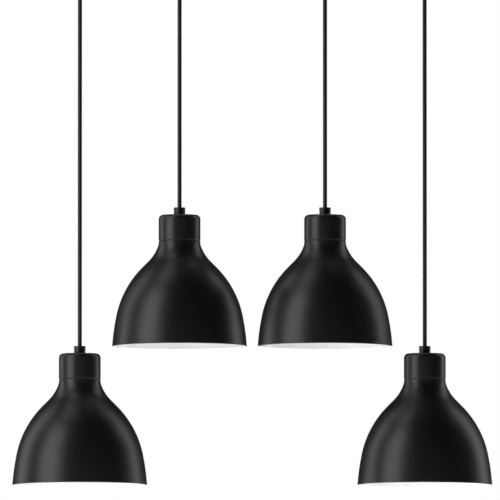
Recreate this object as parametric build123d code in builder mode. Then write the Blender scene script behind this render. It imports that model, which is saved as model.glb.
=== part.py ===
"""Four-shade pendant lamp for hanging over a pool table.

A shallow ceiling canopy holds four cords in line along X. Each cord carries a bell-shaped metal
shade under a socket cup, with a screw lamp holder and a bulb inside. The two outer shades hang
lower than the two inner ones. Millimetres. The origin is on the ceiling, at the middle of the
mounting strap, with +Z up and +Y to the back. Heights of a pendant's pieces are given as depths
below the top of its socket cup.
"""

import os
from math import cos, radians, sin, tan

from build123d import *

# ---- where the pendants hang: number, distance along the bar, height of the socket cup's top
OUTER_X, INNER_X = 256.0, 108.0
OUTER_DROP, INNER_DROP = 573.9, 367.9
PENDANTS = [
    (1, -OUTER_X, -OUTER_DROP),
    (2, -INNER_X, -INNER_DROP),
    (3, INNER_X, -INNER_DROP),
    (4, OUTER_X, -OUTER_DROP),
]

# ---- ceiling canopy: an open-topped tray of sheet steel, held to its strap by two cap nuts
CANOPY_LENGTH, CANOPY_WIDTH, CANOPY_DEPTH = 620.0, 120.0, 26.0
CANOPY_SHEET = 1.2
CANOPY_CORNER, CANOPY_EDGE = 14.0, 3.0
CEILING_GAP = 0.5
CANOPY_FLOOR = -CEILING_GAP - CANOPY_DEPTH

STRAP_LENGTH, STRAP_WIDTH, STRAP_SHEET, STRAP_LIP = 596.0, 40.0, 1.5, 6.0
STUD_X, STUD_RADIUS, STUD_LENGTH = 286.0, 2.0, 31.0
STUD_COLLAR_RADIUS, STUD_COLLAR = 3.5, 1.2
BOX_SCREW_SPACING, BOX_SLOT_LENGTH = 88.9, 12.0
PLUG_SCREW_SPACING = 400.0
STRAP_HOLE_RADIUS, SUPPLY_HOLE_RADIUS = 2.5, 10.0
CAP_NUT_RADIUS, CAP_NUT_HEIGHT, CAP_NUT_GROOVES = 6.0, 8.0, 24
THREAD_CLEARANCE = 0.1

# ---- cord, and the grip that holds it at each end: flared mouth, seat for the cord's round end
CORD_RADIUS = 3.1
GRIP_RADIUS, GRIP_FOOT_RADIUS, GRIP_HEIGHT, GRIP_EDGE = 8.7, 8.3, 11.0, 1.4
SHANK_RADIUS, CEILING_SHANK, LAMP_SHANK = 4.9, 7.0, 12.0
PIVOT_DEPTH, PIVOT_CLEARANCE = 4.5, 0.3
FLARE_ANGLE, FLARE_BELOW_PIVOT = 32.0, 0.9
SHEATH_CLEARANCE = 0.1
GRUB_RADIUS, GRUB_LEVEL = 1.5, 2.1
NUT_FLATS, NUT_HEIGHT = 14.0, 3.0

# ---- socket cup and shade
CUP_RADIUS, CUP_HEIGHT, CUP_WALL, CUP_EDGE = 31.0, 38.2, 1.2, 3.0
SHADE_TOP, SHADE_SHEET, SHADE_TOP_EDGE = 38.6, 0.8, 0.6
NECK_END = 42.5
# below the neck the bell's outline is a chain of tangent arcs: radius, and the turn in degrees
NECK_ARC = (8.0, 18.3)
SHOULDER_ARC = (61.0, 26.6)
SHOULDER_RUN = 13.4
BELL_ARC = (141.0, -33.0)
SKIRT_ARC = (326.6, -8.2)
RIM_BEAD_RADIUS = 0.8

# ---- lamp holder for an E26 bulb, and the ring that clamps the shade to it
HOLDER_WALL = 2.0
CAP_TOP_RADIUS, CAP_RADIUS, CAP_SHOULDER, CAP_END = 11.0, 17.5, 7.7, 22.0
CAP_BOSS_RADIUS, CAP_BOSS_END = 8.0, 9.2
HOLDER_RADIUS, HOLDER_END = 19.6, 58.0
FLANGE_RADIUS, FLANGE_THICKNESS = 24.0, 2.0
SOCKET_FLOOR, SOCKET_RADIUS = 29.0, 14.2
SHELL_RADIUS, SHELL_WALL, SHELL_START, SHELL_END = 13.6, 0.5, 32.0, 56.0
TAB_LENGTH, TAB_WIDTH, TAB_THICKNESS, TAB_RISE = 9.0, 5.0, 0.5, 2.4
RING_RADIUS, RING_HEIGHT, RING_NOTCHES, RING_NOTCH_RADIUS = 26.0, 9.0, 12, 2.2

# ---- bulb
CONTACT_TOP, CONTACT_RADIUS, CONTACT_HEIGHT = 31.7, 4.5, 1.2
INSULATOR_RADIUS, INSULATOR_HEIGHT = 11.0, 2.6
BASE_RADIUS, BASE_WALL, BASE_FLOOR = 12.6, 0.4, 5.0
GLASS_START, GLASS_NECK_RADIUS, GLASS_NECK, GLASS_WALL = 58.3, 13.4, 8.0, 0.7
GLOBE_RADIUS, GLOBE_CENTRE, GLOBE_LEAN = 30.0, 112.0, 40.0

# ---- wiring
WIRE_RADIUS, WIRE_RING = 1.1, 1.6
SHEATH_PAST_SHANK = 1.0
LANE_SPACING, LANE_SPREAD = 10.0, 13.0
INNER_LANE, OUTER_LANE, EARTH_LANE = -9.4, -6.2, -12.6
POLES = {"live": -1, "neutral": 0, "earth": 1}
CONDUCTOR_STEP = 120.0
LEAD_RING, LEAD_BEND = 7.5, 3.0
BLOCK_X, BLOCK_LENGTH, BLOCK_WIDTH, BLOCK_HEIGHT = 74.0, 20.0, 34.0, 15.0
ENTRY_WIDTH, ENTRY_HEIGHT, ENTRY_DEPTH, WIRE_IN_ENTRY = 3.6, 10.6, 6.5, 6.0
SCREW_RADIUS, SCREW_HEAD_RADIUS, SCREW_HEAD, SCREW_SLOT = 1.6, 3.2, 2.2, 0.8
EARTH_SCREW = (132.0, 14.0)


def save(piece, name):
    """Labels one finished piece and writes it as parts/NAME.step."""
    piece.label = name
    export_step(piece, f"parts/{name}.step")


def half_section(x, z, up=1):
    """Plane of a turned piece's half section: radius across, height above (or below) z."""
    return Plane(origin=(x, 0, z), x_dir=(1, 0, 0), z_dir=(0, -up, 0))


def turned(x, z, points, up=1):
    """Adds the solid of revolution of a closed outline of (radius, height) points."""
    with BuildSketch(half_section(x, z, up)) as outline:
        with BuildLine():
            Polyline(*points, close=True)
        make_face()
    revolve(outline.sketch, axis=Axis((x, 0, z), (0, 0, 1)))


# ------------------------------------------------------------------ ceiling canopy and strap
def canopy_cover():
    """Drawn steel tray, open to the ceiling, with four cord holes and two stud holes."""
    with BuildPart() as cover:
        with BuildSketch(Plane.XY.offset(CANOPY_FLOOR)):
            RectangleRounded(CANOPY_LENGTH, CANOPY_WIDTH, CANOPY_CORNER)
        extrude(amount=CANOPY_DEPTH)
        fillet(cover.edges().group_by(Axis.Z)[0], CANOPY_EDGE)
        offset(amount=-CANOPY_SHEET, openings=cover.faces().sort_by(Axis.Z)[-1])
        with BuildSketch(Plane.XY.offset(CANOPY_FLOOR)):
            with Locations(*[(x, 0) for _, x, _ in PENDANTS]):
                Circle(SHANK_RADIUS + THREAD_CLEARANCE)
            with GridLocations(2 * STUD_X, 1, 2, 1):
                Circle(STUD_RADIUS + THREAD_CLEARANCE)
        extrude(amount=2 * CANOPY_SHEET, mode=Mode.SUBTRACT)
    save(cover.part, "canopy_cover")


def mounting_strap():
    """Channel that screws to the ceiling box, with two welded studs that hold the canopy."""
    with BuildPart() as strap:
        with BuildSketch(Plane.XY):
            SlotOverall(STRAP_LENGTH, STRAP_WIDTH)
        extrude(amount=-STRAP_SHEET - STRAP_LIP)
        with BuildSketch(Plane.XY.offset(-STRAP_SHEET)):
            SlotOverall(STRAP_LENGTH - 2 * STRAP_SHEET, STRAP_WIDTH - 2 * STRAP_SHEET)
        extrude(amount=-STRAP_LIP, mode=Mode.SUBTRACT)
        with BuildSketch(Plane.XY):
            Circle(SUPPLY_HOLE_RADIUS)
            with GridLocations(PLUG_SCREW_SPACING, 1, 2, 1):
                Circle(STRAP_HOLE_RADIUS)
            with GridLocations(BOX_SCREW_SPACING, 1, 2, 1):
                SlotOverall(BOX_SLOT_LENGTH, 2 * STRAP_HOLE_RADIUS)
            with Locations(EARTH_SCREW):
                Circle(SCREW_RADIUS + THREAD_CLEARANCE)
        extrude(amount=-STRAP_SHEET, mode=Mode.SUBTRACT)
        with BuildSketch(Plane.XY.offset(-STRAP_SHEET)):
            with GridLocations(2 * STUD_X, 1, 2, 1):
                Circle(STUD_COLLAR_RADIUS)
        extrude(amount=-STUD_COLLAR)
        with BuildSketch(Plane.XY.offset(-STRAP_SHEET)):
            with GridLocations(2 * STUD_X, 1, 2, 1):
                Circle(STUD_RADIUS)
        extrude(amount=-STUD_LENGTH)
        chamfer(strap.edges().group_by(Axis.Z)[0], STUD_RADIUS / 4)
    save(strap.part, "mounting_strap")


def cap_nuts():
    """Two knurled blind nuts under the canopy, on the strap's studs."""
    bore_depth = CANOPY_FLOOR + STRAP_SHEET + STUD_LENGTH + PIVOT_CLEARANCE
    with BuildPart() as nuts:
        with BuildSketch(Plane.XY.offset(CANOPY_FLOOR)):
            with GridLocations(2 * STUD_X, 1, 2, 1):
                Circle(CAP_NUT_RADIUS)
        extrude(amount=-CAP_NUT_HEIGHT)
        fillet(nuts.edges().group_by(Axis.Z)[0], CAP_NUT_RADIUS / 4)
        with BuildSketch(Plane.XY.offset(CANOPY_FLOOR - CAP_NUT_RADIUS / 6)):
            with GridLocations(2 * STUD_X, 1, 2, 1):
                with PolarLocations(CAP_NUT_RADIUS, CAP_NUT_GROOVES):
                    Circle(CAP_NUT_RADIUS / 20)
        extrude(amount=-CAP_NUT_HEIGHT + CAP_NUT_RADIUS / 2, mode=Mode.SUBTRACT)
        with BuildSketch(Plane.XY.offset(CANOPY_FLOOR)):
            with GridLocations(2 * STUD_X, 1, 2, 1):
                Circle(STUD_RADIUS + THREAD_CLEARANCE)
        extrude(amount=-bore_depth, mode=Mode.SUBTRACT)
    save(nuts.part, "canopy_cap_nuts")


# ------------------------------------------------------------------ cord grips
def grip_body(x, z, shank, up):
    """Adds one cord grip: flared mouth, seat for the cord's round end, bore and threaded shank."""
    bore = CORD_RADIUS + SHEATH_CLEARANCE
    seat = CORD_RADIUS + PIVOT_CLEARANCE
    pivot = GRIP_HEIGHT - PIVOT_DEPTH
    flare_start = pivot - FLARE_BELOW_PIVOT
    mouth = seat + (GRIP_HEIGHT - flare_start) * tan(radians(FLARE_ANGLE))
    shoulder = (GRIP_RADIUS - GRIP_EDGE, GRIP_HEIGHT - GRIP_EDGE)
    with BuildSketch(half_section(x, z, up)) as outline:
        with BuildLine():
            CenterArc(shoulder, GRIP_EDGE, 0, 90)
            Polyline(
                (shoulder[0], GRIP_HEIGHT),
                (mouth, GRIP_HEIGHT),
                (seat, flare_start),
                (seat, pivot - seat),
                (bore, pivot - seat),
                (bore, -shank),
                (SHANK_RADIUS, -shank),
                (SHANK_RADIUS, 0),
                (GRIP_FOOT_RADIUS, 0),
                (GRIP_RADIUS, shoulder[1]),
            )
        make_face()
    revolve(outline.sketch, axis=Axis((x, 0, z), (0, 0, 1)))


def behind(x, z, y):
    """Plane that faces the back, at distance y behind a cord."""
    return Plane(origin=(x, y, z), x_dir=(1, 0, 0), z_dir=(0, 1, 0))


def cord_grips(name, places, shank, up):
    """Cord grips with a hole at the back for the clamping screw; up is -1 under the canopy."""
    with BuildPart() as grips:
        for x, z in places:
            grip_body(x, z, shank, up)
        for x, z in places:
            with BuildSketch(behind(x, z + up * GRUB_LEVEL, CORD_RADIUS)):
                Circle(GRUB_RADIUS + THREAD_CLEARANCE)
            extrude(amount=GRIP_RADIUS, mode=Mode.SUBTRACT)
    save(grips.part, name)


def grub_screws(name, places, up):
    """Slotted nylon screws that clamp the cord in its grip, just below the grip's surface."""
    inner = CORD_RADIUS + SHEATH_CLEARANCE
    outer = GRIP_FOOT_RADIUS - GRUB_RADIUS / 3
    with BuildPart() as screws:
        for x, z in places:
            with BuildSketch(behind(x, z + up * GRUB_LEVEL, inner)):
                Circle(GRUB_RADIUS)
            extrude(amount=outer - inner)
            with BuildSketch(behind(x, z + up * GRUB_LEVEL, outer)):
                Rectangle(3 * GRUB_RADIUS, GRUB_RADIUS / 3)
            extrude(amount=-GRUB_RADIUS / 2, mode=Mode.SUBTRACT)
    save(screws.part, name)


def lock_nuts():
    """Hex nuts inside the canopy, on the shanks of the cord grips."""
    with BuildPart() as nuts:
        with BuildSketch(Plane.XY.offset(CANOPY_FLOOR + CANOPY_SHEET)):
            with Locations(*[(x, 0) for _, x, _ in PENDANTS]):
                RegularPolygon(NUT_FLATS / 2, 6, major_radius=False)
                Circle(SHANK_RADIUS + THREAD_CLEARANCE, mode=Mode.SUBTRACT)
        extrude(amount=NUT_HEIGHT)
    save(nuts.part, "grip_lock_nuts")


# ------------------------------------------------------------------ cords and wiring
def cord(n, x, cup_top):
    """The hanging cord of one pendant: one straight run with a round end in each grip's seat."""
    top = CANOPY_FLOOR - GRIP_HEIGHT + PIVOT_DEPTH
    bottom = cup_top + GRIP_HEIGHT - PIVOT_DEPTH
    length = top - bottom
    with BuildPart() as line:
        with BuildSketch(half_section(x, bottom)):
            with BuildLine():
                CenterArc((0, 0), CORD_RADIUS, -90, 90)
                Line((CORD_RADIUS, 0), (CORD_RADIUS, length))
                CenterArc((0, length), CORD_RADIUS, 0, 90)
                Line((0, length + CORD_RADIUS), (0, -CORD_RADIUS))
            make_face()
        revolve(axis=Axis((x, 0, bottom), (0, 0, 1)))
    save(line.part, f"cord_{n}")
    print(f"cord_{n}: one straight run of {length:.1f} mm between its pivots, radius {CORD_RADIUS} mm")


def sheath_end(z, shank, up):
    """Height at which a cord's sheath ends past the grip's shank, and its conductors part."""
    return z - up * (shank + SHEATH_PAST_SHANK)


def sheath(x, z, shank, up):
    """Adds the sheathed length that one grip holds, from its seat to past the shank."""
    start = z + up * (GRIP_HEIGHT - PIVOT_DEPTH - CORD_RADIUS - PIVOT_CLEARANCE)
    end = sheath_end(z, shank, up)
    with BuildSketch(Plane.XY.offset(min(start, end))) as section:
        with Locations((x, 0)):
            Circle(CORD_RADIUS)
    extrude(section.sketch, amount=abs(start - end))


def wire(points):
    """Adds one insulated wire along points, its bends as large as the runs allow; gives the least."""
    runs = [(b - a).length for a, b in zip(points, points[1:])]
    turns = [(b - a).get_angle(c - b) for a, b, c in zip(points, points[1:], points[2:])]
    bends = [0.45 * min(pair) / tan(radians(t / 2)) for pair, t in zip(zip(runs, runs[1:]), turns)]
    with BuildLine() as route:
        FilletPolyline(*points, radius=bends)
    with BuildSketch(Plane(origin=points[0], z_dir=points[1] - points[0])) as section:
        Circle(WIRE_RADIUS)
    sweep(section.sketch, path=route.wires()[0])
    return min(bends)


def on_ring(x, z, pole, towards=1, ring=WIRE_RING):
    """A conductor's place in the cord, or on a larger ring; neutral lies in the direction towards."""
    angle = radians(pole * CONDUCTOR_STEP)
    return Vector(x + towards * ring * cos(angle), ring * sin(angle), z)


def cord_tails():
    """The four cords' sheathed ends inside the canopy."""
    with BuildPart() as tails:
        for _, x, _ in PENDANTS:
            sheath(x, CANOPY_FLOOR, CEILING_SHANK, -1)
    save(tails.part, "cord_tails")


def canopy_wires(pole_name):
    """Conductors of one colour, from each cord over to its pole of the terminal block."""
    pole = POLES[pole_name]
    with BuildPart() as wires:
        bends = []
        for _, x, _ in PENDANTS:
            lane = OUTER_LANE if abs(x) == OUTER_X else INNER_LANE
            side = 1 if x > BLOCK_X else -1
            inside = BLOCK_X + side * (BLOCK_LENGTH / 2 - WIRE_IN_ENTRY)
            y = pole * LANE_SPACING
            rise = [
                on_ring(x, sheath_end(CANOPY_FLOOR, CEILING_SHANK, -1), pole, -side),
                on_ring(x, lane, pole, -side),
            ]
            spread = [Vector(x - side * LANE_SPREAD, y, lane)] if pole else []
            bends.append(wire(rise + spread + [Vector(inside, y, lane)]))
        if pole_name == "earth":
            bends.append(wire(earth_link()))
    save(wires.part, f"{pole_name}_wires")
    print(f"{pole_name}_wires: tightest bend {min(bends):.1f} mm")


def earth_link():
    """Route from the earth pole of the block to the screw on the strap."""
    x, y = EARTH_SCREW
    head = -STRAP_SHEET - SCREW_HEAD
    return [
        Vector(BLOCK_X + BLOCK_LENGTH / 2 - WIRE_IN_ENTRY, LANE_SPACING, EARTH_LANE),
        Vector(x - LANE_SPREAD, LANE_SPACING, EARTH_LANE),
        Vector(x, y, EARTH_LANE),
        Vector(x, y, head),
    ]


def terminal_block():
    """Three-pole block under the strap, with a slot for the wires of each pole at both ends."""
    entry_middle = (OUTER_LANE + EARTH_LANE) / 2
    with BuildPart() as block:
        with BuildSketch(Plane.XY.offset(-STRAP_SHEET)):
            with Locations((BLOCK_X, 0)):
                Rectangle(BLOCK_LENGTH, BLOCK_WIDTH)
        extrude(amount=-BLOCK_HEIGHT)
        fillet(block.edges().filter_by(Axis.Z), 1.5)
        for side in (-1, 1):
            middle = (BLOCK_X + side * BLOCK_LENGTH / 2, 0, entry_middle)
            with BuildSketch(Plane(origin=middle, x_dir=(0, side, 0), z_dir=(side, 0, 0))):
                with GridLocations(LANE_SPACING, 1, 3, 1):
                    Rectangle(ENTRY_WIDTH, ENTRY_HEIGHT)
            extrude(amount=-ENTRY_DEPTH, mode=Mode.SUBTRACT)
        with BuildSketch(Plane.XY.offset(-STRAP_SHEET - BLOCK_HEIGHT)):
            with Locations((BLOCK_X, 0)):
                with GridLocations(1, LANE_SPACING, 1, 3):
                    Circle(SCREW_RADIUS + THREAD_CLEARANCE)
        extrude(amount=BLOCK_HEIGHT / 2, mode=Mode.SUBTRACT)
    save(block.part, "terminal_block")


def screw(x, y, face, length):
    """Adds a slotted screw that hangs head down from a face and runs up into it."""
    with BuildSketch(Plane.XY.offset(face)) as shank:
        with Locations((x, y)):
            Circle(SCREW_RADIUS)
    extrude(shank.sketch, amount=length)
    with BuildSketch(Plane.XY.offset(face - SCREW_HEAD)) as head:
        with Locations((x, y)):
            Circle(SCREW_HEAD_RADIUS)
    extrude(head.sketch, amount=SCREW_HEAD)


def terminal_screws():
    """Slotted screws: three in the terminal block and the earth screw in the strap."""
    block_face = -STRAP_SHEET - BLOCK_HEIGHT
    with BuildPart() as screws:
        for pole in POLES.values():
            screw(BLOCK_X, pole * LANE_SPACING, block_face, BLOCK_HEIGHT / 3)
            with BuildSketch(Plane.XY.offset(block_face - SCREW_HEAD)):
                with Locations((BLOCK_X, pole * LANE_SPACING)):
                    Rectangle(3 * SCREW_HEAD_RADIUS, SCREW_SLOT)
            extrude(amount=SCREW_HEAD / 2, mode=Mode.SUBTRACT)
        screw(*EARTH_SCREW, -STRAP_SHEET, STRAP_SHEET)
    save(screws.part, "terminal_screws")


# ------------------------------------------------------------------ one pendant
def socket_cup(n, x, cup_top):
    """Spun cup over the lamp holder, open below, with a hole for the grip's shank."""
    with BuildPart() as cup:
        with BuildSketch(Plane.XY.offset(cup_top)):
            with Locations((x, 0)):
                Circle(CUP_RADIUS)
        extrude(amount=-CUP_HEIGHT)
        fillet(cup.edges().group_by(Axis.Z)[-1], CUP_EDGE)
        offset(amount=-CUP_WALL, openings=cup.faces().sort_by(Axis.Z)[0])
        with BuildSketch(Plane.XY.offset(cup_top)):
            with Locations((x, 0)):
                Circle(SHANK_RADIUS + THREAD_CLEARANCE)
        extrude(amount=-2 * CUP_WALL, mode=Mode.SUBTRACT)
    save(cup.part, f"socket_cup_{n}")


def shade(n, x, cup_top):
    """Bell-shaped shade of spun sheet: a flat top with the holder's hole, and a beaded rim."""
    with BuildPart() as bell:
        with BuildSketch(half_section(x, cup_top)):
            with BuildLine():
                Line((0, -SHADE_TOP), (CUP_RADIUS, -SHADE_TOP))
                neck = Line((CUP_RADIUS, -SHADE_TOP), (CUP_RADIUS, -NECK_END))
                flare = JernArc(neck @ 1, neck % 1, *NECK_ARC)
                shoulder = JernArc(flare @ 1, flare % 1, *SHOULDER_ARC)
                slope = Line(shoulder @ 1, shoulder @ 1 + SHOULDER_RUN * (shoulder % 1))
                body = JernArc(slope @ 1, slope % 1, *BELL_ARC)
                skirt = JernArc(body @ 1, body % 1, *SKIRT_ARC)
                rim = skirt @ 1
                Line(rim, (0, rim.Y))
                Line((0, rim.Y), (0, -SHADE_TOP))
            make_face()
        revolve(axis=Axis((x, 0, cup_top), (0, 0, 1)))
        fillet(bell.edges().group_by(Axis.Z)[-1], SHADE_TOP_EDGE)
        offset(amount=-SHADE_SHEET, openings=bell.faces().sort_by(Axis.Z)[0])
        with BuildSketch(Plane.XY.offset(cup_top - SHADE_TOP)):
            with Locations((x, 0)):
                Circle(HOLDER_RADIUS + THREAD_CLEARANCE)
        extrude(amount=-2 * SHADE_SHEET, mode=Mode.SUBTRACT)
        with BuildSketch(half_section(x, cup_top)):
            with Locations((rim.X - RIM_BEAD_RADIUS, rim.Y + RIM_BEAD_RADIUS)):
                Circle(RIM_BEAD_RADIUS)
        revolve(axis=Axis((x, 0, cup_top), (0, 0, 1)))
    save(bell.part, f"shade_{n}")
    if n == 1:
        print(f"shade: rim radius {rim.X:.2f} mm at {-rim.Y:.2f} mm below the cup's top")


def holder_cap(n, x, cup_top):
    """Moulded cap of the lamp holder, screwed on the grip's shank up against the cup."""
    with BuildPart() as cap:
        turned(x, cup_top, [
            (SHANK_RADIUS + THREAD_CLEARANCE, -CUP_WALL),
            (CAP_TOP_RADIUS, -CUP_WALL),
            (CAP_RADIUS, -CAP_SHOULDER),
            (CAP_RADIUS, -CAP_END),
            (CAP_RADIUS - HOLDER_WALL, -CAP_END),
            (CAP_RADIUS - HOLDER_WALL, -CAP_SHOULDER - HOLDER_WALL / 2),
            (CAP_TOP_RADIUS, -CUP_WALL - HOLDER_WALL),
            (CAP_BOSS_RADIUS, -CUP_WALL - HOLDER_WALL),
            (CAP_BOSS_RADIUS, -CAP_BOSS_END),
            (SHANK_RADIUS + THREAD_CLEARANCE, -CAP_BOSS_END),
        ])
    save(cap.part, f"holder_cap_{n}")


def lamp_holder(n, x, cup_top):
    """Holder body: floor with three lead holes, a flange over the shade, and the socket."""
    with BuildPart() as holder:
        turned(x, cup_top, [
            (0, -CAP_END),
            (CAP_RADIUS, -CAP_END),
            (HOLDER_RADIUS, -CAP_END - HOLDER_WALL),
            (HOLDER_RADIUS, FLANGE_THICKNESS - SHADE_TOP),
            (FLANGE_RADIUS, FLANGE_THICKNESS - SHADE_TOP),
            (FLANGE_RADIUS, -SHADE_TOP),
            (HOLDER_RADIUS, -SHADE_TOP),
            (HOLDER_RADIUS, -HOLDER_END),
            (SOCKET_RADIUS, -HOLDER_END),
            (SOCKET_RADIUS, -SOCKET_FLOOR),
            (0, -SOCKET_FLOOR),
        ])
        with BuildSketch(Plane.XY.offset(cup_top - CAP_END)):
            for pole in POLES.values():
                spot = on_ring(x, 0, pole, ring=LEAD_RING)
                with Locations((spot.X, spot.Y)):
                    Circle(WIRE_RADIUS + THREAD_CLEARANCE)
        extrude(amount=-HOLDER_WALL, mode=Mode.SUBTRACT)
    save(holder.part, f"lamp_holder_{n}")


def holder_leads(n, x, cup_top):
    """The cord's end under its grip: the sheath and three conductors down to the holder's floor."""
    start = sheath_end(cup_top, LAMP_SHANK, 1)
    end = cup_top - CAP_END - HOLDER_WALL
    with BuildPart() as leads:
        sheath(x, cup_top, LAMP_SHANK, 1)
        for pole in POLES.values():
            wire([
                on_ring(x, start, pole),
                on_ring(x, start - LEAD_BEND, pole),
                on_ring(x, end + LEAD_BEND, pole, ring=LEAD_RING),
                on_ring(x, end, pole, ring=LEAD_RING),
            ])
    save(leads.part, f"holder_leads_{n}")


def socket_contacts(n, x, cup_top):
    """Brass screw shell of the socket, and the bent centre tab on its floor."""
    with BuildPart() as contacts:
        turned(x, cup_top, [
            (SHELL_RADIUS, -SHELL_START),
            (SHELL_RADIUS, -SHELL_END),
            (SHELL_RADIUS - SHELL_WALL, -SHELL_END),
            (SHELL_RADIUS - SHELL_WALL, -SHELL_START),
        ])
        with BuildSketch(half_section(x, cup_top - SOCKET_FLOOR)):
            with BuildLine() as tab:
                FilletPolyline(
                    (-TAB_LENGTH / 2, 0),
                    (-TAB_LENGTH / 2 + TAB_WIDTH / 2, 0),
                    (TAB_THICKNESS, TAB_THICKNESS - TAB_RISE),
                    (TAB_LENGTH / 2, TAB_THICKNESS - TAB_RISE),
                    radius=TAB_THICKNESS,
                )
                offset(amount=TAB_THICKNESS, side=Side.RIGHT)
            make_face()
        extrude(amount=TAB_WIDTH / 2, both=True)
    save(contacts.part, f"socket_contacts_{n}")


def shade_ring(n, x, cup_top):
    """Notched ring on the holder's thread that clamps the shade up against the flange."""
    top = cup_top - SHADE_TOP - SHADE_SHEET
    with BuildPart() as ring:
        with BuildSketch(Plane.XY.offset(top)):
            with Locations((x, 0)):
                Circle(RING_RADIUS)
                Circle(HOLDER_RADIUS + THREAD_CLEARANCE, mode=Mode.SUBTRACT)
                with PolarLocations(RING_RADIUS + RING_NOTCH_RADIUS / 2, RING_NOTCHES):
                    Circle(RING_NOTCH_RADIUS, mode=Mode.SUBTRACT)
        extrude(amount=-RING_HEIGHT)
        chamfer(ring.edges().group_by(Axis.Z)[0], THREAD_CLEARANCE * 5)
    save(ring.part, f"shade_ring_{n}")


def bulb_base(n, x, cup_top):
    """Screw base of the bulb: centre contact, insulator cone and thin shell, as one turned piece."""
    insulator_top = CONTACT_TOP + CONTACT_HEIGHT
    shell_top = insulator_top + INSULATOR_HEIGHT
    with BuildPart() as base:
        turned(x, cup_top, [
            (0, -CONTACT_TOP),
            (CONTACT_RADIUS, -CONTACT_TOP),
            (CONTACT_RADIUS, -insulator_top),
            (INSULATOR_RADIUS, -shell_top),
            (BASE_RADIUS, -shell_top - BASE_RADIUS + INSULATOR_RADIUS),
            (BASE_RADIUS, -GLASS_START),
            (BASE_RADIUS - BASE_WALL, -GLASS_START),
            (BASE_RADIUS - BASE_WALL, -shell_top - BASE_FLOOR),
            (0, -shell_top - BASE_FLOOR),
        ])
    save(base.part, f"bulb_base_{n}")


def bulb_glass(n, x, cup_top):
    """Thin pear-shaped glass of the bulb, from the base down to its round end."""
    neck_end = GLASS_START + GLASS_NECK
    lean = radians(GLOBE_LEAN)
    touch = (GLOBE_RADIUS * cos(lean), -GLOBE_CENTRE + GLOBE_RADIUS * sin(lean))
    with BuildPart() as glass:
        with BuildSketch(half_section(x, cup_top)):
            with BuildLine():
                Line((0, -GLASS_START), (GLASS_NECK_RADIUS, -GLASS_START))
                neck = Line((GLASS_NECK_RADIUS, -GLASS_START), (GLASS_NECK_RADIUS, -neck_end))
                TangentArc(neck @ 1, touch, tangent=neck % 1)
                CenterArc((0, -GLOBE_CENTRE), GLOBE_RADIUS, GLOBE_LEAN, -90 - GLOBE_LEAN)
                Line((0, -GLOBE_CENTRE - GLOBE_RADIUS), (0, -GLASS_START))
            make_face()
        revolve(axis=Axis((x, 0, cup_top), (0, 0, 1)))
        offset(amount=-GLASS_WALL, openings=glass.faces().sort_by(Axis.Z)[-1])
    save(glass.part, f"bulb_glass_{n}")


# ------------------------------------------------------------------ the whole lamp
os.makedirs("parts", exist_ok=True)

ceiling_places = [(x, CANOPY_FLOOR) for _, x, _ in PENDANTS]
canopy_cover()
mounting_strap()
cap_nuts()
cord_grips("ceiling_cord_grips", ceiling_places, CEILING_SHANK, -1)
grub_screws("ceiling_grub_screws", ceiling_places, -1)
lock_nuts()
cord_tails()
for pole_name in POLES:
    canopy_wires(pole_name)
terminal_block()
terminal_screws()

for n, x, cup_top in PENDANTS:
    cord(n, x, cup_top)
    cord_grips(f"cord_grip_{n}", [(x, cup_top)], LAMP_SHANK, 1)
    grub_screws(f"grub_screw_{n}", [(x, cup_top)], 1)
    socket_cup(n, x, cup_top)
    holder_cap(n, x, cup_top)
    lamp_holder(n, x, cup_top)
    holder_leads(n, x, cup_top)
    socket_contacts(n, x, cup_top)
    shade_ring(n, x, cup_top)
    shade(n, x, cup_top)
    bulb_base(n, x, cup_top)
    bulb_glass(n, x, cup_top)
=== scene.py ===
"""Looks of the pool table lamp: four black bell shades on straight cords under a long canopy.

Everything is in metres in the frame of the CAD model. Outlines of turned pieces are given as
(radius, depth), with the depth measured down from the top of the pendant's socket cup.
"""

import math

import bmesh
import bpy
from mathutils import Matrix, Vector


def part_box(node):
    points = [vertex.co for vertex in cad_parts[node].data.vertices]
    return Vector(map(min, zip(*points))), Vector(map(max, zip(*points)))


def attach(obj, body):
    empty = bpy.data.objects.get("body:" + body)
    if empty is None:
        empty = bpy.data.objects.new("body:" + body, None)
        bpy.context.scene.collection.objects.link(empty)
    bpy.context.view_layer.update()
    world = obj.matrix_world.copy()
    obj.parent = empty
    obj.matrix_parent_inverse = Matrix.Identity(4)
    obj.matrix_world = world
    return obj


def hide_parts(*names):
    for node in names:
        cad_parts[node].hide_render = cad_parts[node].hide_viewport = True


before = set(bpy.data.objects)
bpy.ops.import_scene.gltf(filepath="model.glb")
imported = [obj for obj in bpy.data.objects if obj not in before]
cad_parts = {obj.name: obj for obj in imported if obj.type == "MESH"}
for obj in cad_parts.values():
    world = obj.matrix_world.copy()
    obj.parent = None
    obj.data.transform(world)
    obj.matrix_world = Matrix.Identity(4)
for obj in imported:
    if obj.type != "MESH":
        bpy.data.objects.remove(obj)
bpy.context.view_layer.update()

scene = bpy.context.scene
PENDANTS = (1, 2, 3, 4)


def axis_of(node):
    """Where a round node's upright axis crosses its top: (x, y, z)."""
    low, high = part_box(node)
    return Vector(((low.x + high.x) / 2, (low.y + high.y) / 2, high.z))


CUP_TOPS = {n: axis_of(f"socket_cup_{n}") for n in PENDANTS}
CANOPY_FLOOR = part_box("canopy_cover")[0].z

# ------------------------------------------------------------------ camera
SENSOR, FOCAL = 0.036, 1.296
CAMERA_DISTANCE = 26.72
CAMERA_TILT = math.radians(3.124)
VIEW_CENTRE = Vector((-0.0034, 0, -0.420))


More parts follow.
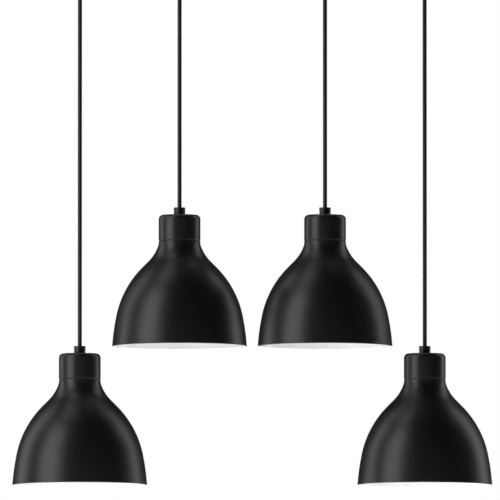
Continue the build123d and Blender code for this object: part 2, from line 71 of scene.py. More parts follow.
def make_camera():
    """A long lens a little below the shades, looking slightly up, so their white insides just show."""
    data = bpy.data.cameras.new("camera")
    data.sensor_width = SENSOR * 1000
    data.lens = FOCAL * 1000
    data.clip_start = 0.1
    data.clip_end = 100
    camera = bpy.data.objects.new("camera", data)
    scene.collection.objects.link(camera)
    back = Vector((0, -math.cos(CAMERA_TILT), -math.sin(CAMERA_TILT)))
    camera.location = VIEW_CENTRE + CAMERA_DISTANCE * back
    camera.rotation_mode = "QUATERNION"
    camera.rotation_quaternion = (-back).to_track_quat("-Z", "Y")
    scene.camera = camera


make_camera()


# ------------------------------------------------------------------ materials
def new_material(name):
    """A material with one Principled shader: gives the material, its node tree and the shader."""
    material = bpy.data.materials.new(name)
    material.use_nodes = True
    tree = material.node_tree
    return material, tree, tree.nodes["Principled BSDF"]


def add_node(tree, kind, **settings):
    """Adds a shader node and sets its inputs and properties by name."""
    node = tree.nodes.new(kind)
    for name, value in settings.items():
        label = name.replace("_", " ").title()
        if label in node.inputs:
            node.inputs[label].default_value = value
        else:
            setattr(node, name, value)
    return node


def noise(tree, scale, detail=3.0, roughness=0.5, stretch=None):
    """A noise texture on object coordinates, optionally stretched along an axis."""
    place = add_node(tree, "ShaderNodeTexCoord").outputs["Object"]
    if stretch:
        mapping = add_node(tree, "ShaderNodeMapping", scale=stretch)
        tree.links.new(place, mapping.inputs["Vector"])
        place = mapping.outputs["Vector"]
    texture = add_node(tree, "ShaderNodeTexNoise", scale=scale, detail=detail, roughness=roughness)
    tree.links.new(place, texture.inputs["Vector"])
    return texture.outputs["Fac"]


def ramp(tree, factor, stops):
    """A colour ramp over a factor: stops are (position, colour) pairs."""
    node = add_node(tree, "ShaderNodeValToRGB")
    elements = node.color_ramp.elements
    while len(elements) < len(stops):
        elements.new(0.5)
    for element, (position, colour) in zip(elements, stops):
        element.position = position
        element.color = (*colour, 1)
    tree.links.new(factor, node.inputs["Fac"])
    return node.outputs["Color"]


def spread(tree, factor, low, high):
    """Maps a factor from 0..1 to low..high."""
    node = add_node(tree, "ShaderNodeMapRange")
    node.inputs["To Min"].default_value = low
    node.inputs["To Max"].default_value = high
    tree.links.new(factor, node.inputs["Value"])
    return node.outputs["Result"]


def bump(tree, shader, height, distance, strength=1.0):
    """Feeds a height, in units of distance, to the shader's normal; earlier bumps stay under it."""
    node = add_node(tree, "ShaderNodeBump", strength=strength, distance=distance)
    earlier = shader.inputs["Normal"].links
    if earlier:
        tree.links.new(earlier[0].from_socket, node.inputs["Normal"])
    tree.links.new(height, node.inputs["Height"])
    tree.links.new(node.outputs["Normal"], shader.inputs["Normal"])


def shade_of(colour, share):
    """A colour made lighter or darker by a share."""
    return tuple(min(1.0, c * share) for c in colour)


def paint(name, colour, roughness, grain, orange_peel, mottle=0.12):
    """Sprayed or powder-coated metal: slight mottle, a fine grain and a soft orange peel."""
    material, tree, shader = new_material(name)
    cloud = noise(tree, 14.0, detail=4.0)
    darker, lighter = shade_of(colour, 1 - mottle), shade_of(colour, 1 + mottle)
    tint = ramp(tree, cloud, [(0.3, darker), (0.7, lighter)])
    tree.links.new(tint, shader.inputs["Base Color"])
    scuff = noise(tree, 60.0, detail=6.0, roughness=0.65)
    tree.links.new(spread(tree, scuff, roughness - 0.03, roughness + 0.03), shader.inputs["Roughness"])
    shader.inputs["IOR"].default_value = 1.5
    bump(tree, shader, noise(tree, 420.0, detail=2.0), orange_peel)
    bump(tree, shader, noise(tree, 2600.0, detail=2.0, roughness=0.7), grain)
    return material


def moulded(name, colour, roughness, grain=0.00001, gloss_ior=1.5):
    """Moulded plastic: even colour with faint flow marks and a fine spark-eroded grain."""
    material, tree, shader = new_material(name)
    flow = noise(tree, 90.0, detail=4.0, stretch=(1, 1, 0.3))
    tint = ramp(tree, flow, [(0.3, shade_of(colour, 0.88)), (0.75, shade_of(colour, 1.12))])
    tree.links.new(tint, shader.inputs["Base Color"])
    tree.links.new(spread(tree, flow, roughness - 0.04, roughness + 0.04), shader.inputs["Roughness"])
    shader.inputs["IOR"].default_value = gloss_ior
    bump(tree, shader, noise(tree, 3000.0, detail=1.0), grain)
    return material


def plated(name, colour, roughness, stretch=None, stain=0.1):
    """Bare or plated metal with drawn or brushed marks and faint stains."""
    material, tree, shader = new_material(name)
    patches = noise(tree, 45.0, detail=5.0)
    darker, lighter = shade_of(colour, 1 - stain), shade_of(colour, 1 + stain / 2)
    tint = ramp(tree, patches, [(0.3, darker), (0.75, lighter)])
    tree.links.new(tint, shader.inputs["Base Color"])
    shader.inputs["Metallic"].default_value = 1.0
    marks = noise(tree, 900.0, detail=3.0, stretch=stretch or (1, 1, 1))
    tree.links.new(spread(tree, marks, roughness - 0.07, roughness + 0.07), shader.inputs["Roughness"])
    bump(tree, shader, marks, 0.000008)
    return material


def cord_sheath():
    """Smooth black sheath, faintly uneven along its length from the cores inside."""
    material, tree, shader = new_material("cord_sheath")
    drawn = noise(tree, 1600.0, detail=2.0, stretch=(1, 1, 0.04))
    tint = ramp(tree, drawn, [(0.3, (0.005, 0.005, 0.0055)), (0.75, (0.008, 0.008, 0.0085))])
    tree.links.new(tint, shader.inputs["Base Color"])
    tree.links.new(spread(tree, drawn, 0.34, 0.40), shader.inputs["Roughness"])
    bump(tree, shader, noise(tree, 120.0, detail=2.0, stretch=(1, 1, 0.4)), 0.000015)
    bump(tree, shader, drawn, 0.000002)
    return material


def opal_glass():
    """Opal bulb glass: milky, smooth, with a faint warm mottle."""
    material, tree, shader = new_material("opal_glass")
    cloud = noise(tree, 30.0, detail=2.0)
    tint = ramp(tree, cloud, [(0.3, (0.76, 0.745, 0.705)), (0.75, (0.82, 0.81, 0.78))])
    tree.links.new(tint, shader.inputs["Base Color"])
    tree.links.new(spread(tree, cloud, 0.16, 0.24), shader.inputs["Roughness"])
    shader.inputs["IOR"].default_value = 1.5
    bump(tree, shader, noise(tree, 700.0, detail=1.0), 0.000006)
    return material


BLACK_PAINT = paint("black_paint", (0.0030, 0.0031, 0.0034), 0.36, 0.000006, 0.000012)
WHITE_PAINT = paint("white_paint", (0.83, 0.84, 0.84), 0.34, 0.000004, 0.00002, mottle=0.015)
BLACK_NYLON = moulded("black_nylon", (0.010, 0.010, 0.0105), 0.40)
PHENOLIC = moulded("phenolic", (0.014, 0.0135, 0.013), 0.28)
WHITE_NYLON = moulded("white_nylon", (0.72, 0.71, 0.67), 0.42)
BLACK_INSULATION = moulded("black_insulation", (0.015, 0.015, 0.016), 0.3)
WHITE_INSULATION = moulded("white_insulation", (0.75, 0.75, 0.72), 0.3)
GREEN_INSULATION = moulded("green_insulation", (0.02, 0.22, 0.05), 0.3)
BLACK_GLASS = moulded("black_glass", (0.012, 0.011, 0.014), 0.12)
ZINC = plated("zinc_steel", (0.60, 0.61, 0.62), 0.36, stretch=(0.06, 1, 1))
BRASS = plated("brass", (0.78, 0.56, 0.25), 0.30, stain=0.18)
NICKEL = plated("nickel_plate", (0.72, 0.70, 0.66), 0.24)
SOLDER = plated("solder", (0.62, 0.62, 0.60), 0.42, stain=0.2)
CORD = cord_sheath()
OPAL = opal_glass()


# ------------------------------------------------------------------ mesh tools
ARC_STEP = math.radians(3.0)
FULL_TURN = 2 * math.pi
THREAD_PITCH, THREAD_STEP = 0.0036, 0.00045


def chain(start, heading, moves):
    """Outline of straight runs (length, 0) and tangent arcs (radius, turn in degrees).

    The heading is in degrees from straight down, outward positive. Gives (radius, depth, heading)
    with the heading in radians.
    """
    r, d = start
    h = math.radians(heading)
    points = [(r, d, h)]
    for size, turn in moves:
        if turn == 0:
            r += size * math.sin(h)
            d += size * math.cos(h)
            points.append((r, d, h))
            continue
        side = math.copysign(1, turn)
        bend = math.radians(turn)
        steps = max(3, math.ceil(abs(bend) / ARC_STEP))
        r0, d0, h0 = r, d, h
        for i in range(1, steps + 1):
            h = h0 + bend * i / steps
            r = r0 + side * size * (math.cos(h0) - math.cos(h))
            d = d0 + side * size * (math.sin(h) - math.sin(h0))
            points.append((r, d, h))
    return points


def flat(points):
    """An outline without its headings."""
    return [(p[0], p[1]) for p in points]


def inset(points, thickness):
    """The parallel outline that lies thickness inside, in reverse order."""
    return [(r - thickness * math.cos(h), d + thickness * math.sin(h)) for r, d, h in reversed(points)]


def rounded(corners, radius, steps=4):
    """A polygon outline with each corner eased by a small curve; radius is a number or a list."""
    radii = radius if isinstance(radius, (list, tuple)) else [radius] * len(corners)
    points = []
    count = len(corners)
    for i, (r, d) in enumerate(corners):
        here = Vector((r, d))
        before = Vector(corners[i - 1]) - here
        after = Vector(corners[(i + 1) % count]) - here
        reach = min(radii[i], 0.45 * before.length, 0.45 * after.length)
        if reach <= 0:
            points.append((r, d))
            continue
        a = here + before.normalized() * reach
        b = here + after.normalized() * reach
        for k in range(steps + 1):
            t = k / steps
            p = (1 - t) ** 2 * a + 2 * t * (1 - t) * here + t * t * b
            points.append((p.x, p.y))
    return points


def stepped(radius, first, last, step):
    """A straight stretch of outline at one radius, with a point at each step."""
    count = max(1, round(abs(last - first) / step))
    return [(radius, first + (last - first) * i / count) for i in range(count + 1)]


def thread(rise, first, last):
    """Shape of a rounded right-hand thread that lifts the surface between two depths."""
    def shape(r, d, angle):
        crest = 0.5 + 0.5 * math.cos(FULL_TURN * (d / THREAD_PITCH) + angle)
        fade = max(0.0, min(1.0, min(d - first, last - d) / (0.5 * THREAD_PITCH)))
        return r + rise * crest * fade
    return shape


def finish_mesh(name, mesh, materials, sharp=35.0):
    """Makes a smooth-shaded object from a mesh, with sharp edges where faces meet steeply."""
    for material in materials:
        mesh.materials.append(material)
    mesh.shade_smooth()
    mesh.set_sharp_from_angle(angle=math.radians(sharp))
    piece = bpy.data.objects.new(name, mesh)
    scene.collection.objects.link(piece)
    return piece


def lathe(name, places, outline, materials, segments=96, shape=None, paint_by=None, sharp=35.0):
    """Turned piece, one closed shell at each place.

    The outline is a closed loop of (radius, depth); points on the axis become single vertices.
    shape(radius, depth, angle) may move a point's radius, for threads, notches and knurls.
    paint_by(index) gives the material number of the band that starts at that outline point.
    """
    built = bmesh.new()
    count = len(outline)
    for place in places:
        rings = []
        for r, d in outline:
            if r < 1e-7:
                rings.append([built.verts.new((place.x, place.y, place.z - d))])
                continue
            ring = []
            for k in range(segments):
                angle = FULL_TURN * k / segments
                radius = shape(r, d, angle) if shape else r
                ring.append(built.verts.new((
                    place.x + radius * math.cos(angle),
                    place.y + radius * math.sin(angle),
                    place.z - d,
                )))
            rings.append(ring)
        for i in range(count):
            a, b = rings[i], rings[(i + 1) % count]
            if len(a) == 1 and len(b) == 1:
                continue
            for k in range(segments):
                following = (k + 1) % segments
                if len(a) == 1:
                    corners = (a[0], b[following], b[k])
                elif len(b) == 1:
                    corners = (a[k], a[following], b[0])
                else:
                    corners = (a[k], a[following], b[following], b[k])
                face = built.faces.new(corners)
                if paint_by:
                    face.material_index = paint_by(i)
    bmesh.ops.recalc_face_normals(built, faces=built.faces)
    mesh = bpy.data.meshes.new(name)
    built.to_mesh(mesh)
    built.free()
    return finish_mesh(name, mesh, materials, sharp)


def place_piece(piece, body, slot, *replaced):
    """Makes a piece ride on its body and hides the CAD nodes that it stands for; the slot is not used.
    """
    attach(piece, body)
    if replaced:
        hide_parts(*replaced)
    return piece


# ------------------------------------------------------------------ cords
CORD_RADIUS = (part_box("cord_1")[1].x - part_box("cord_1")[0].x) / 2
GRIP_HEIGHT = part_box("cord_grip_1")[1].z - CUP_TOPS[1].z
NEARLY_ZERO = 1e-9


def make_cord(n):
    """One straight hanging cord with a round end in the seat of each grip."""
    low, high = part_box(f"cord_{n}")
    axis = axis_of(f"cord_{n}")
    length = high.z - low.z - 2 * CORD_RADIUS
    outline = flat(chain((0, 0), 90, [
        (NEARLY_ZERO, 0), (CORD_RADIUS, -90), (length, 0), (CORD_RADIUS, -90),
    ]))
    outline[0] = (0, outline[0][1])
    outline[-1] = (0, outline[-1][1])
    del outline[1]
    piece = lathe(f"hanging_cord_{n}", [axis], outline, [CORD], segments=40)
    place_piece(piece, f"hanging_cord_{n}", "cord_sheath", f"cord_{n}")


for n in PENDANTS:
    make_cord(n)


# ------------------------------------------------------------------ shades and cups
SHADE_SHEET = 0.0008
HOLDER_HOLE = 0.0197
SHADE_TOP = CUP_TOPS[1].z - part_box("shade_1")[1].z
SEAM = 0.0004
CUP_HEIGHT = CUP_TOPS[1].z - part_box("socket_cup_1")[0].z - SEAM
CUP_RADIUS = (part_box("socket_cup_1")[1].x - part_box("socket_cup_1")[0].x) / 2
CUP_WALL, CUP_EDGE, CUP_EASE, CUP_HOLE = 0.0012, 0.0065, 0.0004, 0.005
NECK_EDGE, NECK_RUN = 0.0009, 0.0030
# the bell below its neck: tangent arcs as (radius, turn in degrees), and one straight run
BELL = [(0.008, 18.3), (0.061, 26.6), (0.0134, 0), (0.141, -33.0), (0.3266, -8.2)]
HEM_RADIUS, HEM_TURN = 0.0011, -205.0


def shade_outline():
    """The shade's closed outline, and the index at which its white inside starts."""
    top_run = CUP_RADIUS - NECK_EDGE - HOLDER_HOLE
    outer = chain((HOLDER_HOLE, SHADE_TOP), 90, [(top_run, 0), (NECK_EDGE, -90), (NECK_RUN, 0)] + BELL)
    rim_r, rim_d, rim_h = outer[-1]
    hem = chain((rim_r, rim_d - HEM_RADIUS), math.degrees(rim_h), [(HEM_RADIUS, HEM_TURN)])
    inner = inset(outer[:-1], SHADE_SHEET)
    inner = [p for p in inner if p[1] < rim_d - 4 * HEM_RADIUS]
    outline = flat(outer[:-1]) + flat(hem) + inner
    lowest = max(range(len(outline)), key=lambda i: outline[i][1])
    return outline, lowest


def make_shade(n):
    """Spun shade, black outside and white inside, with a small rolled hem at the rim.

    It is left out of reflections, so that each shade shows the soft boxes as one that hangs alone.
    """
    outline, white_from = shade_outline()
    piece = lathe(
        f"shade_skin_{n}", [CUP_TOPS[n]], outline, [BLACK_PAINT, WHITE_PAINT], segments=144,
        paint_by=lambda i: 1 if i >= white_from else 0,
    )
    place_piece(piece, f"pendant_{n}", "black_paint", f"shade_{n}")
    piece.visible_glossy = False


def make_cup(n):
    """Spun cup over the lamp holder, with a round top edge and a narrow dark seam under it."""
    outer = chain((CUP_HOLE, 0), 90, [
        (CUP_RADIUS - CUP_EDGE - CUP_HOLE, 0), (CUP_EDGE, -90), (CUP_HEIGHT - CUP_EDGE - CUP_EASE, 0),
        (CUP_EASE, -90), (CUP_WALL - 2 * CUP_EASE, 0), (CUP_EASE, -90),
    ])
    inner = chain((CUP_RADIUS - CUP_WALL, CUP_EDGE), 180, [(CUP_EDGE - CUP_WALL, 90)])
    outline = flat(outer) + flat(inner) + [(CUP_HOLE, CUP_WALL)]
    piece = lathe(f"cup_skin_{n}", [CUP_TOPS[n]], outline, [BLACK_PAINT], segments=112)
    place_piece(piece, f"pendant_{n}", "black_paint", f"socket_cup_{n}")


# ------------------------------------------------------------------ cord grips
PIVOT_DEPTH = 0.0045
GRIP_EDGE = 0.0014
GRIP_MOUTH, GRIP_SEAT, GRIP_BORE = 0.00677, 0.0034, 0.0032
GRIP_FLARE_START = PIVOT_DEPTH + 0.0009
SHANK_RADIUS = 0.0049
GRIP_RADIUS, GRIP_FOOT_RADIUS = 0.0087, 0.0083
GRUB_LEVEL, GRUB_HOLE = 0.0021, 0.0016


def grip_outline(shank):
    """A cord grip's outline from its mouth downwards, with a flared mouth, a seat and a shank."""
    height = GRIP_HEIGHT
    corners = [
        (GRIP_MOUTH, 0), (GRIP_RADIUS, 0), (GRIP_FOOT_RADIUS, height), (SHANK_RADIUS, height),
        (SHANK_RADIUS, height + shank), (GRIP_BORE, height + shank),
        (GRIP_BORE, PIVOT_DEPTH + GRIP_SEAT), (GRIP_SEAT, PIVOT_DEPTH + GRIP_SEAT),
        (GRIP_SEAT, GRIP_FLARE_START),
    ]
    radii = [0.0003, GRIP_EDGE, 0.0003, 0.0001, 0.0004, 0.0002, 0, 0, 0.0004]
    return rounded(corners, radii, steps=6)


def drill(piece, centre, radius, length):
    """Cuts a round hole into a piece from its back, along Y."""
    cutter_mesh = bpy.data.meshes.new("cutter")
    built = bmesh.new()
    bmesh.ops.create_cone(
        built, cap_ends=True, segments=24, radius1=radius, radius2=radius, depth=length)
    bmesh.ops.rotate(built, cent=(0, 0, 0), verts=built.verts,
                     matrix=Vector((0, 0, 1)).rotation_difference(Vector((0, 1, 0))).to_matrix())
    bmesh.ops.translate(built, vec=centre, verts=built.verts)
    built.to_mesh(cutter_mesh)
    built.free()
    cutter = bpy.data.objects.new("cutter", cutter_mesh)
    scene.collection.objects.link(cutter)
    cut = piece.modifiers.new("hole", "BOOLEAN")
    cut.operation = "DIFFERENCE"
    cut.solver = "EXACT"
    cut.object = cutter
    bpy.context.view_layer.update()
    result = bpy.data.meshes.new_from_object(piece.evaluated_get(bpy.context.evaluated_depsgraph_get()))
    piece.modifiers.clear()
    piece.data = result
    bpy.data.objects.remove(cutter)


def make_grip(name, body, feet, shank, up, replaced=()):
    """Grips on their feet, each with a hole for its clamping screw; up is -1 under the canopy."""
    mouths = [place + Vector((0, 0, up * GRIP_HEIGHT)) for place in feet]
    outline = [(r, up * d) for r, d in grip_outline(shank)]
    piece = lathe(name, mouths, outline, [BLACK_NYLON], segments=56)
    reach = 2 * (GRIP_RADIUS - CORD_RADIUS)
    for place in feet:
        drill(piece, place + Vector((0, GRIP_RADIUS, up * GRUB_LEVEL)), GRUB_HOLE, reach)
    place_piece(piece, body, "black_nylon", *replaced)


LAMP_SHANK = CUP_TOPS[1].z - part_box("cord_grip_1")[0].z
CEILING_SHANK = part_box("ceiling_cord_grips")[1].z - CANOPY_FLOOR
for n in PENDANTS:
    make_shade(n)
    make_cup(n)
    make_grip(f"grip_skin_{n}", f"pendant_{n}", [CUP_TOPS[n]], LAMP_SHANK, 1, [f"cord_grip_{n}"])
canopy_feet = [Vector((CUP_TOPS[n].x, CUP_TOPS[n].y, CANOPY_FLOOR)) for n in PENDANTS]
make_grip("ceiling_grip_skins", "canopy", canopy_feet, CEILING_SHANK, -1, ["ceiling_cord_grips"])


# ------------------------------------------------------------------ cap nuts under the canopy
NUT_RADIUS, NUT_ROUND, NUT_BORE, NUT_SPARE = 0.006, 0.0016, 0.0021, 0.0003
KNURLS, KNURL_DEPTH = 24, 0.0004


def knurled(r, d, angle):
    """Narrow upright grooves round the side of a cap nut."""
    if r < NUT_RADIUS - NUT_ROUND / 4:
        return r
    return r - KNURL_DEPTH * max(0.0, math.cos(KNURLS * angle)) ** 4


def make_cap_nuts():
    """Two knurled blind nuts with domed ends, on the strap's studs."""
    low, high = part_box("canopy_cap_nuts")
    height = high.z - low.z
    bore = CANOPY_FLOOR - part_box("mounting_strap")[0].z + NUT_SPARE
    outline = rounded(
        [(NUT_BORE, 0), (NUT_RADIUS, 0), (NUT_RADIUS, height), (0, height), (0, bore), (NUT_BORE, bore)],
        [0, 0.0004, NUT_ROUND, 0, 0, 0], steps=6,
    )
    places = [Vector((x, 0, CANOPY_FLOOR)) for x in (low.x + NUT_RADIUS, high.x - NUT_RADIUS)]
    piece = lathe("cap_nut_skins", places, outline, [BLACK_PAINT], segments=8 * KNURLS, shape=knurled)
    place_piece(piece, "canopy", "black_paint", "canopy_cap_nuts")


make_cap_nuts()


# ------------------------------------------------------------------ lamp holders, rings and bulbs
RING_RADIUS, RING_BORE, RING_NOTCHES = 0.026, 0.0197, 12
NOTCH_RADIUS, NOTCH_CENTRE = 0.0022, 0.0271
HOLDER_THREAD_ROOT, HOLDER_THREAD_RISE = 0.0195, 0.0006
SHELL_IN, SHELL_OUT, SHELL_RISE, SHELL_LIP = 0.01295, 0.01345, 0.0005, 0.0142
SHELL_SHEET, SHELL_LIFT = 0.0005, 0.003
BASE_ROOT, BASE_RISE, BASE_COLLAR, BASE_COLLAR_HEIGHT = 0.01225, 0.0005, 0.0126, 0.005
CONTACT_RADIUS, CONTACT_HEIGHT = 0.0045, 0.0012
INSULATOR_RADIUS, INSULATOR_HEIGHT, INSULATOR_GAP = 0.011, 0.0026, 0.0013
NECK_RADIUS, GLASS_NECK, GLASS_WALL = 0.0134, 0.008, 0.0007
# the glass below its neck: an outward arc, then the round end, as (radius, turn in degrees)
NECK_SWEEP, GLOBE = (0.0409, 40.0), (0.030, -130.0)
TAB_WIDTH, TAB_SHEET, TAB_TOP = 0.005, 0.0005, 0.0023


def depths(n, node):
    """Highest and lowest depth of a pendant's node below its cup's top."""
    low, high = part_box(f"{node}_{n}")
    return CUP_TOPS[n].z - high.z, CUP_TOPS[n].z - low.z


def notched(r, d, angle):
    """Scallops for a ring wrench in the rim of the shade ring."""
    step = FULL_TURN / RING_NOTCHES
    off = (angle + step / 2) % step - step / 2
    side = NOTCH_CENTRE * math.sin(off)
    if abs(side) >= NOTCH_RADIUS:
        return r
    return min(r, NOTCH_CENTRE * math.cos(off) - math.sqrt(NOTCH_RADIUS ** 2 - side ** 2))


def make_ring(n):
    """Notched ring that clamps the shade, and the holder's thread that shows below it."""
    top, bottom = depths(n, "shade_ring")
    corners = [(RING_BORE, top), (RING_RADIUS, top), (RING_RADIUS, bottom), (RING_BORE, bottom)]
    outline = rounded(corners, [0, 0.0004, 0.0012, 0.0004], steps=5)
    ring = lathe(f"ring_skin_{n}", [CUP_TOPS[n]], outline, [PHENOLIC], segments=288, shape=notched)
    place_piece(ring, f"pendant_{n}", "phenolic", f"shade_ring_{n}")
    end = depths(n, "lamp_holder")[1] - THREAD_STEP
    root = HOLDER_THREAD_ROOT
    outline = stepped(root, bottom - THREAD_PITCH, end, THREAD_STEP)
    outline += [(root - HOLDER_THREAD_RISE, end), (root - HOLDER_THREAD_RISE, bottom - THREAD_PITCH)]
    worm = thread(HOLDER_THREAD_RISE, bottom - THREAD_PITCH, end)
    ridges = lathe(
        f"holder_thread_{n}", [CUP_TOPS[n]], outline, [PHENOLIC], segments=72,
        shape=lambda r, d, angle: worm(r, d, angle) if r >= root else r,
    )
    place_piece(ridges, f"pendant_{n}", "phenolic")


def bent_strip(name, centre, path, sheet, width, materials):
    """A strip of sheet bent along (across, depth) points, standing across Y."""
    built = bmesh.new()
    section = path + [(a, d - sheet) for a, d in reversed(path)]
    sides = []
    for y in (-width / 2, width / 2):
        sides.append([built.verts.new((centre.x + a, centre.y + y, centre.z - d)) for a, d in section])
    built.faces.new(sides[0])
    built.faces.new(reversed(sides[1]))
    for i in range(len(section)):
        k = (i + 1) % len(section)
        built.faces.new((sides[0][i], sides[1][i], sides[1][k], sides[0][k]))
    bmesh.ops.recalc_face_normals(built, faces=built.faces)
    mesh = bpy.data.meshes.new(name)
    built.to_mesh(mesh)
    built.free()
    return finish_mesh(name, mesh, materials)


def make_contacts(n):
    """Rolled brass screw shell of the socket, with its lip, and the sprung centre tab."""
    floor, end = depths(n, "socket_contacts")
    start = floor + SHELL_LIFT
    outline = stepped(SHELL_OUT, start, end - THREAD_STEP, THREAD_STEP) + [(SHELL_LIP, end)]
    outline += [(SHELL_LIP - SHELL_SHEET, end)]
    outline += stepped(SHELL_IN, end - THREAD_STEP, start, THREAD_STEP)
    shell = lathe(
        f"screw_shell_{n}", [CUP_TOPS[n]], outline, [BRASS], segments=72,
        shape=thread(SHELL_RISE, start, end - THREAD_STEP),
    )
    place_piece(shell, f"pendant_{n}", "brass", f"socket_contacts_{n}")
    low, high = floor + TAB_SHEET, floor + TAB_TOP
    path = [(-0.0045, low), (-0.0022, low), (-0.0014, low + 0.0003), (0.0002, high - 0.0003),
            (0.0010, high), (0.0030, high), (0.0045, high - 0.0003)]
    tab = bent_strip(f"centre_tab_{n}", CUP_TOPS[n], path, TAB_SHEET, TAB_WIDTH, [BRASS])
    place_piece(tab, f"pendant_{n}", "brass", f"socket_contacts_{n}")


def make_bulb(n):
    """Bulb with a rolled screw base, black glass insulator and soldered contact, and opal glass."""
    tip, base_end = depths(n, "bulb_base")
    cone_start = tip + CONTACT_HEIGHT
    cone_end = cone_start + INSULATOR_HEIGHT
    thread_start, thread_end = cone_end + INSULATOR_GAP, base_end - BASE_COLLAR_HEIGHT
    corners = [(0, tip), (CONTACT_RADIUS, tip), (CONTACT_RADIUS, cone_start)]
    contact = rounded(corners, [0, CONTACT_HEIGHT, 0], 5)
    outline = contact + [(INSULATOR_RADIUS, cone_end)]
    outline += stepped(BASE_ROOT, thread_start, thread_end, THREAD_STEP)
    outline += [(BASE_COLLAR, thread_end + THREAD_STEP), (BASE_COLLAR, base_end), (0, base_end)]
    worm = thread(BASE_RISE, thread_start, thread_end)

    def band(i):
        d = outline[i][1]
        return 0 if d < cone_start - 1e-6 else 1 if d < cone_end - 1e-6 else 2

    base = lathe(
        f"base_skin_{n}", [CUP_TOPS[n]], outline, [SOLDER, BLACK_GLASS, NICKEL], segments=72,
        shape=lambda r, d, angle: worm(r, d, angle) if r == BASE_ROOT else r, paint_by=band,
    )
    place_piece(base, f"bulb_{n}", "nickel_plate", f"bulb_base_{n}")
    outer = chain((NECK_RADIUS, depths(n, "bulb_glass")[0]), 0, [(GLASS_NECK, 0), NECK_SWEEP, GLOBE])
    inner = inset(outer, GLASS_WALL)
    outline = flat(outer[:-1]) + [(0, outer[-1][1]), (0, inner[0][1])] + inner[1:]
    glass = lathe(f"glass_skin_{n}", [CUP_TOPS[n]], outline, [OPAL], segments=96)
    place_piece(glass, f"bulb_{n}", "opal_glass", f"bulb_glass_{n}")


for n in PENDANTS:
    make_ring(n)
    make_contacts(n)
    make_bulb(n)


# ------------------------------------------------------------------ plain CAD nodes and their finishes
FINISHES = {
    "canopy_cover": BLACK_PAINT,
    "canopy_cap_nuts": BLACK_PAINT,
    "mounting_strap": ZINC,
    "grip_lock_nuts": ZINC,
    "ceiling_cord_grips": BLACK_NYLON,
    "ceiling_grub_screws": BLACK_NYLON,
    "cord_tails": CORD,
    "live_wires": BLACK_INSULATION,
    "neutral_wires": WHITE_INSULATION,
    "earth_wires": GREEN_INSULATION,
    "terminal_block": WHITE_NYLON,
    "terminal_screws": BRASS,
    "grub_screw": BLACK_NYLON,
    "holder_cap": PHENOLIC,
    "lamp_holder": PHENOLIC,
    "holder_leads": CORD,
    "socket_contacts": BRASS,
    "shade_ring": PHENOLIC,
    "bulb_base": NICKEL,
    "bulb_glass": OPAL,
    "cord_grip": BLACK_NYLON,
    "shade": BLACK_PAINT,
    "socket_cup": BLACK_PAINT,
    "cord": CORD,
}
EASED_EDGES = {
    "mounting_strap": 0.0003,
    "grip_lock_nuts": 0.0003,
    "terminal_block": 0.0004,
    "terminal_screws": 0.0002,
    "holder_cap": 0.0004,
    "lamp_holder": 0.0004,
}


def finish_nodes():
    """Gives every CAD node its material, and eases the sharp edges of the plainer ones."""
    for name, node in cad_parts.items():
        base = name.rstrip("1234").rstrip("_")
        node.data.materials.clear()
        node.data.materials.append(FINISHES[base])
        if base in EASED_EDGES:
            ease = node.modifiers.new("eased_edges", "BEVEL")
            ease.width = EASED_EDGES[base]
            ease.segments = 2
            ease.limit_method = "ANGLE"
            ease.angle_limit = math.radians(40)


finish_nodes()
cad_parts["canopy_cover"].visible_glossy = False


# ------------------------------------------------------------------ light, backdrop and floor
LIGHT_DISTANCE = 2.6
STRIP_HEIGHT, STRIP_MIDDLE = 4.0, 0.5
FLOOR_Z, FLOOR_RADIUS = -1.75, 2.4
WASH_HEIGHT, WASH_SHARE, WASH_RADIANCE = 0.3, 2.4, 1.13


def soft_box(name, place, target, size, radiance, colour):
    """An even rectangular light that faces a target, seen only in reflections and by its light."""
    data = bpy.data.lights.new(name, "AREA")
    data.shape = "RECTANGLE"
    data.size, data.size_y = size
    data.energy = radiance * math.pi * size[0] * size[1]
    data.color = colour
    light = bpy.data.objects.new(name, data)
    scene.collection.objects.link(light)
    light.location = place
    light.rotation_mode = "QUATERNION"
    light.rotation_quaternion = (Vector(target) - Vector(place)).to_track_quat("-Z", "Y")
    light.visible_camera = False


def strip_light(name, azimuth, width, radiance, colour):
    """A tall upright box round the lamp: azimuth 0 is on the camera's side, positive to its left."""
    turn = math.radians(azimuth)
    place = (-LIGHT_DISTANCE * math.sin(turn), -LIGHT_DISTANCE * math.cos(turn), STRIP_MIDDLE)
    soft_box(name, place, (0, 0, STRIP_MIDDLE), (width, STRIP_HEIGHT), radiance, colour)


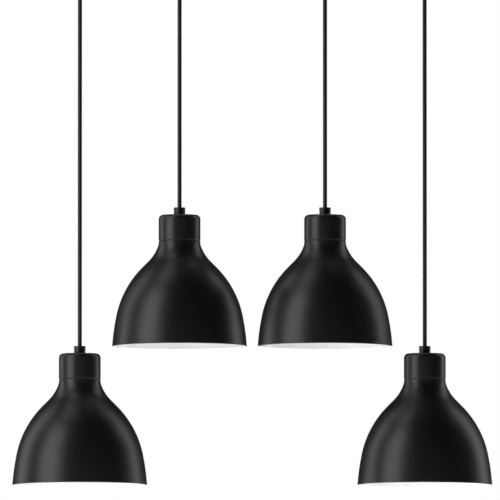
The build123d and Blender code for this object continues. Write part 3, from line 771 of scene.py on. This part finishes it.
def make_floor():
    """A round pale floor far below the lamp, seen only from above, with its own even light."""
    built = bmesh.new()
    bmesh.ops.create_circle(built, cap_ends=True, radius=FLOOR_RADIUS, segments=192)
    bmesh.ops.translate(built, vec=(0, 0, FLOOR_Z), verts=built.verts)
    mesh = bpy.data.meshes.new("floor")
    built.to_mesh(mesh)
    built.free()
    material, tree, shader = new_material("pale_floor")
    cloud = noise(tree, 3.0, detail=3.0)
    tint = ramp(tree, cloud, [(0.3, (0.81, 0.81, 0.81)), (0.7, (0.84, 0.84, 0.84))])
    tree.links.new(tint, shader.inputs["Base Color"])
    shader.inputs["Roughness"].default_value = 0.7
    clear = add_node(tree, "ShaderNodeBsdfTransparent")
    choice = add_node(tree, "ShaderNodeMixShader")
    tree.links.new(add_node(tree, "ShaderNodeNewGeometry").outputs["Backfacing"], choice.inputs["Fac"])
    tree.links.new(shader.outputs["BSDF"], choice.inputs[1])
    tree.links.new(clear.outputs["BSDF"], choice.inputs[2])
    tree.links.new(choice.outputs["Shader"], tree.nodes["Material Output"].inputs["Surface"])
    mesh.materials.append(material)
    floor = bpy.data.objects.new("floor", mesh)
    scene.collection.objects.link(floor)
    place, side = (0, 0, FLOOR_Z + WASH_HEIGHT), WASH_SHARE * FLOOR_RADIUS
    soft_box("floor_wash", place, (0, 0, FLOOR_Z), (side, side), WASH_RADIANCE, (1, 1, 1))


strip_light("left_front", 58, 1.6, 2.7, (0.95, 0.975, 1.0))
strip_light("left_back", 114, 1.1, 1.55, (0.96, 0.98, 1.0))
strip_light("right_back", -117, 1.05, 1.5, (1.0, 0.975, 0.94))
soft_box("left_top", (-0.85, -0.28, 1.45), (0, 0, -0.4), (0.8, 0.8), 1.5, (0.97, 0.985, 1.0))
soft_box("from_below", (0, 0, -1.6), (0, 0, 0), (3.0, 3.0), 1.2, (1, 1, 1))
soft_box("front_low", (0, -3.2, -2.3), (0, 0, -0.55), (2.4, 1.2), 5.0, (1, 1, 1))
soft_box("from_above", (0, 0.9, 1.5), (0, 0, 0), (1.2, 0.5), 2.0, (1, 1, 1))
make_floor()


def make_world():
    """White where the camera sees past the lamp, and dim all round for light and reflections."""
    world = bpy.data.worlds.new("studio")
    scene.world = world
    world.use_nodes = True
    tree = world.node_tree
    backdrop = tree.nodes["Background"]
    backdrop.inputs["Color"].default_value = (1, 1, 1, 1)
    dim = add_node(tree, "ShaderNodeBackground")
    dim.inputs["Color"].default_value = (0.035, 0.035, 0.037, 1)
    choice = add_node(tree, "ShaderNodeMixShader")
    tree.links.new(add_node(tree, "ShaderNodeLightPath").outputs["Is Camera Ray"], choice.inputs["Fac"])
    tree.links.new(dim.outputs["Background"], choice.inputs[1])
    tree.links.new(backdrop.outputs["Background"], choice.inputs[2])
    tree.links.new(choice.outputs["Shader"], tree.nodes["World Output"].inputs["Surface"])


make_world()
scene.view_settings.view_transform = "Standard"
